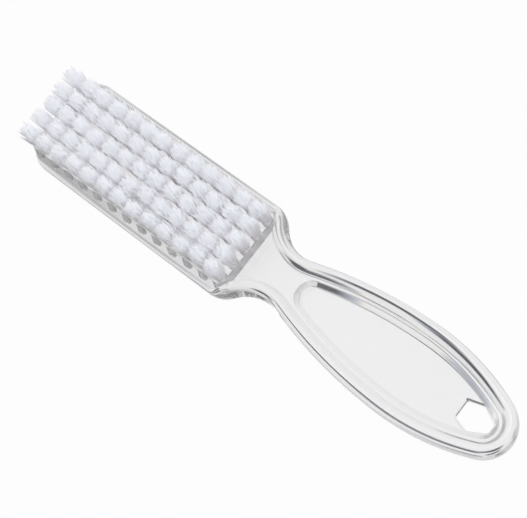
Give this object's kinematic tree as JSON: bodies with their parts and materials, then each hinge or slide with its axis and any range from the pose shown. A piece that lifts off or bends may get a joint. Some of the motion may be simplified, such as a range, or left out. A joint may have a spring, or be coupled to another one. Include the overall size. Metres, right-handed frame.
{
  "type": "nail brush",
  "caption": "Long-handled nail brush: a clear moulded head, neck and oval handle with a hanging hole, and tufts of pale nylon bristle held by flat metal anchors.",
  "frame": {"origin": "centre of the brush's footprint, on its flat back", "axes": "+X from the head to the hanging hole, +Y across the brush, +Z the way the tufts point"},
  "size_m": [0.1542, 0.0292, 0.0164],
  "materials": {
    "clear_plastic": "polished clear moulding",
    "bristle": "fine nylon bristle, pale bluish white",
    "anchor_wire": "flat wire, cut edges"
  },
  "bodies": {
    "root": {"body": "clear_plastic", "tuft_column_01": "bristle", "tuft_column_02": "bristle", "tuft_column_03": "bristle", "tuft_column_04": "bristle", "tuft_column_05": "bristle", "tuft_column_06": "bristle", "tuft_column_07": "bristle", "tuft_column_08": "bristle", "tuft_column_09": "bristle", "tuft_column_10": "bristle", "tuft_column_11": "bristle", "tuft_column_12": "bristle", "tuft_column_13": "bristle", "anchor_column_01": "anchor_wire", "anchor_column_02": "anchor_wire", "anchor_column_03": "anchor_wire", "anchor_column_04": "anchor_wire", "anchor_column_05": "anchor_wire", "anchor_column_06": "anchor_wire", "anchor_column_07": "anchor_wire", "anchor_column_08": "anchor_wire", "anchor_column_09": "anchor_wire", "anchor_column_10": "anchor_wire", "anchor_column_11": "anchor_wire", "anchor_column_12": "anchor_wire", "anchor_column_13": "anchor_wire"}
  },
  "joints": []
}
